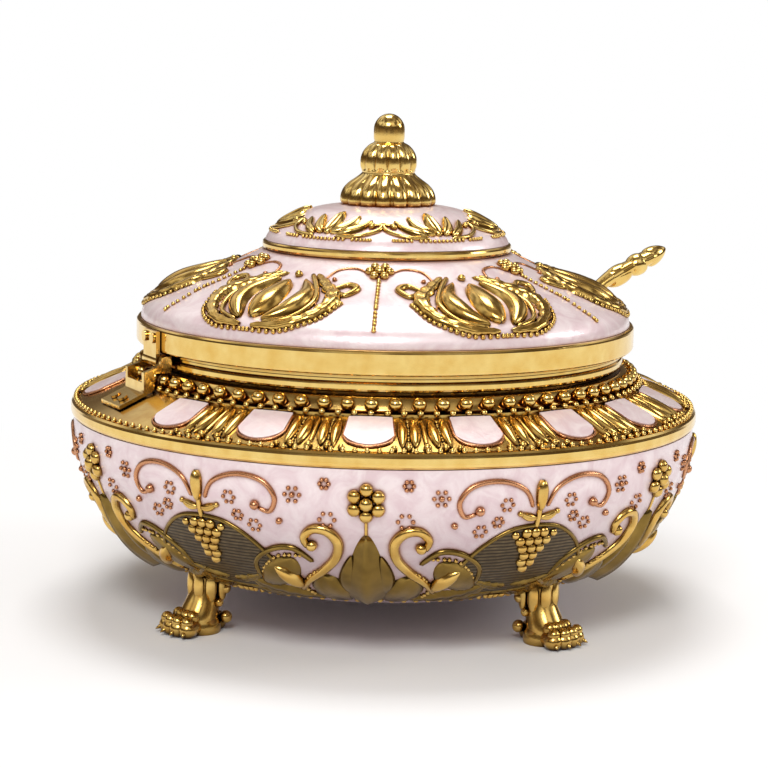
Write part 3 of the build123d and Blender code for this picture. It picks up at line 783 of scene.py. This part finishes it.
    def cartouche(self, relief):
        """Thin frame and dark sprigs of a cartouche."""
        outline = self.shield()
        ring = outline + outline[:2]
        relief.tube(ring[: len(ring) // 2 + 2], radius=0.5, taper=0.9, steps=2)
        relief.tube(ring[len(ring) // 2 :], radius=0.5, taper=0.9, steps=2)
        for side in (1, -1):
            relief.leaf(
                to_side(side, [(0.6, 30.6), (4.6, 30.0), (9.0, 27.2)]),
                width=3.0, height=1.1, lobes=4,
            )

    def grapes(self, relief):
        """Bunch of grapes under the plume."""
        for row, count in enumerate((3, 4, 3, 2, 2, 1)):
            for step in range(count):
                relief.ball((step - (count - 1) / 2) * 2.0, 13.8 + 1.9 * row, 1.15, 0.9)
        for side in (1, -1):
            relief.ball(4.4 * side, 14.2, 0.9)

    def scrolls(self, relief):
        """Pair of wide scrolls that spring from a plume, each ending in a ball."""
        for side in (1, -1):
            scroll = to_side(side, [
                (1.6, 8.2), (3.4, 4.6), (7.2, 2.6), (11.6, 2.2), (15.6, 3.4), (17.6, 6.4),
                (16.2, 9.4), (13.8, 8.8),
            ])
            relief.tube(scroll, radius=0.55, taper=0.6)
            relief.ball(13.2 * side, 8.2, 1.0)
            for u, v, size in ((7.4, 7.2, 1.2), (8.8, 11.0, 1.0), (12.2, 13.0, 1.2)):
                for turn in even_turns(6):
                    relief.ball((u + size * cos(turn)) * side, v + size * sin(turn), 0.42)

    def florets(self, relief):
        """Small florets and studs on the enamel beside a fan."""
        for side in (1, -1):
            for u, v, size in ((14.9, 5.4, 1.5), (7.8, 10.4, 1.5), (8.4, 2.8, 0.9)):
                for turn in even_turns(6):
                    relief.ball((u + size * cos(turn)) * side, v + size * sin(turn), 0.45)
            relief.ball(14.9 * side, 5.4, 0.6)
            relief.ball(17.6 * side, 11.4, 0.7)


class POT_OT_shoulder(bpy.types.Operator):
    """Tongues and wires between the enamel petals, and the rows of balls round the neck"""

    bl_idname = "sugar_pot.shoulder"
    bl_label = "Shoulder and gallery"

    def execute(self, context):
        settings = context.scene.sugar_pot
        materials = material_set(settings)
        gold = materials["Gold plate, polished"]
        slope = Surface("shoulder_cover", top_rays(0.0577, 0.0682, 30))
        tongues = Relief()
        for side in (1, -1):
            tongues.leaf(
                to_side(side, [(1.5, 0.4), (1.8, 5.0), (2.3, 10.4)]),
                width=2.5, height=1.2, groove=0, fullest=0.6,
            )
            tongues.leaf(
                to_side(side, [(4.2, 0.4), (4.3, 5.0), (4.9, 10.6)]),
                width=2.3, height=1.1, groove=0, fullest=0.5,
            )
            tongues.row(
                to_side(side, [(2.9, 1.2), (3.1, 5.0), (3.6, 9.6)]),
                radius=0.34, count=11,
            )
            tongues.ball(3.7 * side, 10.7, 0.8)
            tongues.ball(6.6 * side, 10.9, 0.7)
        tongues.tube([(0, 0.6), (0, 5.5), (0, 10.0)], radius=0.5, taper=0.8)
        tongues.ball(0, 10.8, 0.9)
        # The hinge's bracket takes the place of one petal and of the tongues on both sides of it.
        gaps = even_turns(settings.petals, 180 / settings.petals)
        clear = [turn for turn in gaps if abs(turn - pi) > 1.6 * pi / settings.petals]
        cast = materials["Gold plate, relief with painted shade"]
        tongues.make("shoulder_tongues", slope, clear, cast, "pot")
        hems = Relief()
        hem = [
            (-4.4, 0.5), (-4.9, 4.0), (-5.0, 6.9), (-3.7, 9.2), (0, 10.3), (3.7, 9.2), (5.0, 6.9),
            (4.9, 4.0), (4.4, 0.5),
        ]
        hems.tube(hem, radius=0.3, taper=0.9, lift=0.6)
        petals = [
            turn for turn in even_turns(settings.petals) if abs(turn - pi) > pi / settings.petals
        ]
        hems.make("petal_hems", slope, petals, materials["Rose gold wire"], "pot")
        gallery = ball_circle("gallery_balls", settings.beads, 1.5, 55.3, 53.0, gold, "pot")
        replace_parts(gallery, "bead_gallery")
        turned(
            "gallery_ring",
            [(51.9, 51.4), (55.4, 51.4), (55.4, 51.9), (54.4, 52.4), (54.4, 54.2), (51.9, 54.2)],
            gold,
            "pot",
        )
        ball_circle("pearl_row", 108, 0.72, 57.2, 51.5, gold, "pot")
        ball_circle("rim_pearls", 180, 0.55, 68.9, 46.1, gold, "pot")
        return {"FINISHED"}


class POT_OT_lid(bpy.types.Operator):
    """Relief on the lid and its crown"""

    bl_idname = "sugar_pot.lid"
    bl_label = "Lid relief"

    def execute(self, context):
        settings = context.scene.sugar_pot
        materials = material_set(settings)
        gold = materials["Gold plate, polished"]
        slope = Surface("lid_dome", top_rays(0.0275, 0.0545, 70))
        crown = Surface("lid_crown", top_rays(0.0105, 0.0270, 50))
        on_line = even_turns(settings.motifs)
        between = even_turns(settings.motifs, 180 / settings.motifs)
        tulips = Relief()
        self.tulip(tulips)
        tulip_piece = tulips.make(
            "lid_tulip_relief", slope, between, materials["Gold plate, relief with painted shade"], "lid"
        )
        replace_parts(tulip_piece, "lid_tulips")
        wires = Relief()
        for side in (1, -1):
            wires.tube(
                to_side(side, [(1.8, 5.6), (5.0, 3.2), (9.0, 4.4), (11.6, 8.6)]),
                radius=0.32,
            )
            wires.tube(to_side(side, [(14.6, 13.0), (12.8, 18.0), (12.4, 24.0)]), radius=0.3)
            wires.ball(9.4 * side, 8.4, 0.55)
        wires.make("lid_tendrils", slope, on_line, materials["Rose gold wire"], "lid")
        lines = Relief()
        lines.ball(0, 4.6, 1.2)
        for turn in even_turns(6):
            lines.ball(2.1 * cos(turn), 4.6 + 2.1 * sin(turn), 1.0)
        lines.row([(0, 8.0), (0, 13.0), (0, 18.0)], radius=0.5, count=9)
        line_piece = lines.make("lid_ball_lines", slope, on_line, gold, "lid")
        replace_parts(line_piece, "lid_bead_lines")
        # The line over the notch stops short of it; the others run on to the lid's edge.
        ends = Relief()
        ends.row([(0, 19.25), (0, 24.0), (0, 28.0)], radius=0.5, count=8)
        ends.make("lid_ball_line_ends", slope, on_line[1:], gold, "lid")
        leaves = Relief()
        for side in (1, -1):
            leaves.leaf(
                to_side(side, [(1.2, 15.0), (3.4, 12.0), (4.6, 8.0)]),
                width=3.0, height=1.3,
            )
            leaves.leaf(
                to_side(side, [(3.0, 15.4), (6.2, 12.8), (8.0, 9.4)]),
                width=2.6, height=1.2,
            )
            leaves.tube(
                to_side(side, [
                    (2.6, 16.0), (7.6, 15.6), (10.8, 13.4), (10.6, 10.8), (8.8, 11.2),
                ]),
                radius=0.6,
            )
            leaves.ball(9.0 * side, 11.6, 0.8)
        leaves.leaf([(0, 15.2), (0, 11), (0, 6.4)], width=3.4, height=1.5)
        leaves.row([(-11, 16.6), (0, 16.8), (11, 16.6)], radius=0.42, count=23)
        leaf_piece = leaves.make("crown_leaf_relief", crown, between, gold, "lid")
        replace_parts(leaf_piece, "crown_leaves")
        tiers = [
            (89.2, 10.2, 16, 1.0), (90.0, 10.7, 16, 1.2), (91.4, 10.6, 16, 1.2),
            (92.8, 10.0, 16, 1.1), (94.0, 8.9, 16, 0.9), (95.0, 7.5, 16, 0.6),
            (95.9, 6.3, 16, 0.2), (96.4, 5.9, 0, 0.0), (97.0, 6.1, 12, 0.4),
            (98.0, 6.4, 12, 0.8), (99.8, 6.3, 12, 0.8), (101.2, 5.7, 12, 0.7),
            (102.4, 4.6, 12, 0.4), (103.0, 3.5, 12, 0.1), (103.3, 3.3, 0, 0.0),
            (104.2, 3.45, 0, 0.0), (106.4, 3.4, 0, 0.0), (107.6, 3.0, 0, 0.0),
            (108.6, 2.2, 0, 0.0), (109.2, 1.2, 0, 0.0), (109.4, 0.3, 0, 0.0),
        ]
        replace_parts(fluted("finial_relief", self.rounded(tiers), gold, "lid"), "finial")
        return {"FINISHED"}

    def rounded(self, tiers):
        """More stations between those of a fluted piece, on a smooth curve."""
        path = smooth_path([(z, radius, depth) for z, radius, flutes, depth in tiers], 4)
        return [
            (z, radius, tiers[min(i // 4, len(tiers) - 1)][2], max(depth, 0.0))
            for i, (z, radius, depth) in enumerate(path)
        ]

    def tulip(self, relief):
        """Three smooth blades in an acanthus lyre, over a beaded edge."""
        relief.leaf(
            [(0, 26.0), (0, 19), (0, 10.6)],
            width=6.6, height=2.3, groove=0, fullest=0.42,
        )
        for side in (1, -1):
            relief.leaf(
                to_side(side, [(2.8, 26.6), (6.6, 21.6), (6.8, 15.6), (3.2, 9.6)]),
                width=4.8, height=1.9, groove=0,
            )
            relief.leaf(
                to_side(side, [
                    (1.4, 28.4), (8.6, 27.4), (13.2, 23.0), (13.4, 16.8), (9.0, 11.4), (4.6, 7.0),
                ]),
                width=4.0, height=1.5, lobes=10, groove=0.2, fullest=0.5, ends=0.3,
            )
            relief.tube(
                to_side(side, [(3.0, 27.4), (8.8, 24.8), (10.4, 19.0), (7.2, 12.4), (3.0, 6.6)]),
                radius=0.7, taper=0.7,
            )
            relief.tube(
                to_side(side, [
                    (11.0, 13.8), (13.2, 10.6), (16.0, 12.4), (15.2, 15.4), (13.6, 14.4),
                ]),
                radius=0.8,
            )
            relief.row(
                to_side(side, [(0.0, 29.4), (8.6, 29.2), (14.4, 25.4), (16.2, 19.0)]),
                radius=0.55, count=19,
            )
        relief.ball(0, 7.4, 0.9)


class POT_OT_feet(bpy.types.Operator):
    """Claws, knuckles and leaves of the lion's paws"""

    bl_idname = "sugar_pot.feet"
    bl_label = "Feet"

    def execute(self, context):
        gold = material_set(context.scene.sugar_pot)["Gold plate, relief with painted shade"]
        work = bmesh.new()
        for turn in FOOT_TURNS:
            stand = Matrix.Rotation(radians(turn), 4, "Z")
            for splay in TOE_TURNS:
                hub = stand @ shift(51.2, 0, 1.7) @ Matrix.Rotation(radians(splay), 4, "Z")
                for reach, rise, size in ((7.6, 1.5, 1.35), (5.0, 2.2, 1.5)):
                    add_ball(work, size, hub @ shift(reach, 0, rise))
                bmesh.ops.create_cone(
                    work,
                    cap_ends=True,
                    segments=10,
                    radius1=0.75 * MM,
                    radius2=0.1 * MM,
                    depth=1.8 * MM,
                    matrix=hub @ shift(9.3, 0, -0.5) @ Matrix.Rotation(radians(115), 4, "Y"),
                )
            for side in (-1, 1):
                for x, y, z, size in (
                    (48.2, 3.9, 9.6, 1.3), (49.6, 3.6, 6.6, 1.0), (47.4, 3.2, 3.0, 1.4),
                ):
                    add_ball(work, size, stand @ shift(x, side * y, z))
            for spread in ANKLE_TURNS:
                hub = stand @ shift(49.6, 0, 10.2) @ Matrix.Rotation(radians(spread), 4, "Z")
                leaf = hub @ shift(3.9, 0, 0) @ Matrix.Diagonal((0.5, 0.75, 2.0, 1))
                add_ball(work, 1.7, leaf, rings=10)
        finished(work, "paw_details", gold, "pot")
        return {"FINISHED"}


class POT_OT_spoon(bpy.types.Operator):
    """Turned swellings on the handle of the spoon"""

    bl_idname = "sugar_pot.spoon"
    bl_label = "Spoon handle"

    def execute(self, context):
        gold = material_set(context.scene.sugar_pot)["Gold plate, polished"]
        stations = [
            (0.0, 1.2), (0.06, 1.9), (0.14, 2.4), (0.24, 2.5), (0.33, 2.2), (0.38, 1.8),
            (0.42, 2.1), (0.47, 2.5), (0.54, 2.65), (0.60, 2.35), (0.63, 1.8), (0.66, 1.7),
            (0.69, 2.1), (0.74, 2.35), (0.82, 2.2), (0.90, 1.7), (0.96, 1.05), (1.0, 0.4),
        ]
        rod(
            "spoon_handle_turning",
            (58.4, 0, 69.9),
            (74.9, 0, 77.6),
            smooth_path(stations, 3),
            gold,
            "spoon",
        )
        return {"FINISHED"}


class POT_OT_stage(bpy.types.Operator):
    """Floor, lamps, world and camera"""

    bl_idname = "sugar_pot.stage"
    bl_label = "Stage"

    def execute(self, context):
        scene = context.scene
        settings = scene.sugar_pot
        scene.view_settings.view_transform = "Standard"
        self.floor()
        for lamp in LAMPS:
            self.lamp(*lamp)
        self.world(scene)
        self.camera(scene, settings)
        return {"FINISHED"}

    def floor(self):
        """Pale round table that fades into the white behind it."""
        work = bmesh.new()
        bmesh.ops.create_circle(work, cap_ends=True, segments=96, radius=3.0)
        mesh = bpy.data.meshes.new("floor")
        work.to_mesh(mesh)
        work.free()
        floor = bpy.data.objects.new("floor", mesh)
        bpy.context.scene.collection.objects.link(floor)
        material, tree, place = new_material("Table, white")
        far = add_node(tree, "ShaderNodeVectorMath", {"operation": "LENGTH"}, {0: place})
        fade = remap(tree, far.outputs["Value"], {"From Min": 0.07, "From Max": 0.24})
        cloth = add_node(tree, "ShaderNodeBsdfDiffuse", {"Color": linear("#FAFAFA")})
        white = add_node(tree, "ShaderNodeEmission", {"Color": linear("#FFFFFF"), "Strength": 1.0})
        both = add_node(
            tree,
            "ShaderNodeMixShader",
            None,
            {0: fade, 1: cloth.outputs["BSDF"], 2: white.outputs["Emission"]},
        )
        add_node(tree, "ShaderNodeOutputMaterial", None, {"Surface": both.outputs["Shader"]})
        mesh.materials.append(material)

    def lamp(self, name, place, size, power):
        """Square soft lamp that looks at the pot."""
        data = bpy.data.lights.new(name, "AREA")
        data.size = size
        data.energy = power
        lamp = bpy.data.objects.new(name, data)
        lamp.location = place
        lamp.rotation_euler = (LAMP_AIM - Vector(place)).to_track_quat("-Z", "Y").to_euler()
        bpy.context.scene.collection.objects.link(lamp)

    def world(self, scene):
        """White behind the pot, and a room of light and shade for its gold to mirror."""
        world = bpy.data.worlds.new("Studio")
        world.use_nodes = True
        tree = world.node_tree
        tree.nodes.clear()
        place = add_node(tree, "ShaderNodeTexCoord")
        split = add_node(
            tree, "ShaderNodeSeparateXYZ", None, {"Vector": place.outputs["Generated"]}
        )
        room = add_node(tree, "ShaderNodeValToRGB", None, {"Fac": split.outputs["Z"]})
        ramp = room.color_ramp
        stops = [
            (0.0, "#8E8478"), (0.10, "#5C4E3C"), (0.30, "#3A3026"), (0.42, "#D8D4CE"),
            (0.7, "#FFFFFF"), (0.9, "#8A8076"),
        ]
        while len(ramp.elements) < len(stops):
            ramp.elements.new(0.5)
        for element, (share, colour) in zip(ramp.elements, stops):
            element.position = share
            element.color = linear(colour)
        rays = add_node(tree, "ShaderNodeLightPath")
        soft = add_node(
            tree, "ShaderNodeBackground", {"Color": linear("#FFF8F2"), "Strength": 0.42}
        )
        # Screens and dark gaps round the studio, which the polished bands mirror as streaks.
        screens = noise(tree, place.outputs["Generated"], 2.4, {"Detail": 1.0})
        gaps = remap(tree, screens, {"From Min": 0.42, "From Max": 0.56})
        walls = mix(tree, gaps, "#5A4E40", room.outputs["Color"])
        mirror = add_node(tree, "ShaderNodeBackground", {"Strength": 1.15}, {"Color": walls})
        seen = add_node(tree, "ShaderNodeBackground", {"Color": linear("#FFFFFF"), "Strength": 1.0})
        glossy = add_node(
            tree,
            "ShaderNodeMixShader",
            None,
            {
                0: rays.outputs["Is Glossy Ray"],
                1: soft.outputs["Background"],
                2: mirror.outputs["Background"],
            },
        )
        whole = add_node(
            tree,
            "ShaderNodeMixShader",
            None,
            {
                0: rays.outputs["Is Camera Ray"],
                1: glossy.outputs["Shader"],
                2: seen.outputs["Background"],
            },
        )
        add_node(tree, "ShaderNodeOutputWorld", None, {"Surface": whole.outputs["Shader"]})
        scene.world = world

    def camera(self, scene, settings):
        """Camera at the photograph's viewing angle."""
        data = bpy.data.cameras.new("camera")
        data.lens = settings.lens
        data.sensor_width = 36.0
        data.sensor_fit = "HORIZONTAL"
        camera = bpy.data.objects.new("camera", data)
        turn = settings.view_turn
        reach = settings.view_distance
        place = Vector((reach * sin(turn), -reach * cos(turn), settings.view_height))
        camera.location = place
        look = (Vector((0, 0, settings.aim_height)) - place).to_track_quat("-Z", "Y").to_matrix()
        camera.rotation_euler = (look @ Matrix.Rotation(settings.roll, 3, "Z")).to_euler()
        scene.collection.objects.link(camera)
        scene.camera = camera


class POT_PT_panel(bpy.types.Panel):
    """Settings and steps of the sugar pot"""

    bl_label = "Sugar pot"
    bl_idname = "POT_PT_panel"
    bl_space_type = "VIEW_3D"
    bl_region_type = "UI"
    bl_category = "Sugar pot"

    def draw(self, context):
        for name in POT_PG_settings.__annotations__:
            self.layout.prop(context.scene.sugar_pot, name)
        for step in STEPS:
            self.layout.operator(step.bl_idname)


STEPS = (
    POT_OT_finishes,
    POT_OT_bowl,
    POT_OT_shoulder,
    POT_OT_lid,
    POT_OT_feet,
    POT_OT_spoon,
    POT_OT_stage,
)
CLASSES = (POT_PG_settings,) + STEPS + (POT_PT_panel,)


def register():
    """Make the settings, steps and panel known to Blender."""
    for kind in CLASSES:
        bpy.utils.register_class(kind)
    bpy.types.Scene.sugar_pot = bpy.props.PointerProperty(type=POT_PG_settings)


def unregister():
    """Take them out again."""
    del bpy.types.Scene.sugar_pot
    for kind in reversed(CLASSES):
        bpy.utils.unregister_class(kind)


def main():
    """Build everything: register the add-on and run each of its steps."""
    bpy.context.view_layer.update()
    register()
    bpy.ops.sugar_pot.finishes()
    bpy.ops.sugar_pot.bowl()
    bpy.ops.sugar_pot.shoulder()
    bpy.ops.sugar_pot.lid()
    bpy.ops.sugar_pot.feet()
    bpy.ops.sugar_pot.spoon()
    bpy.ops.sugar_pot.stage()


if __name__ == "__main__":
    main()
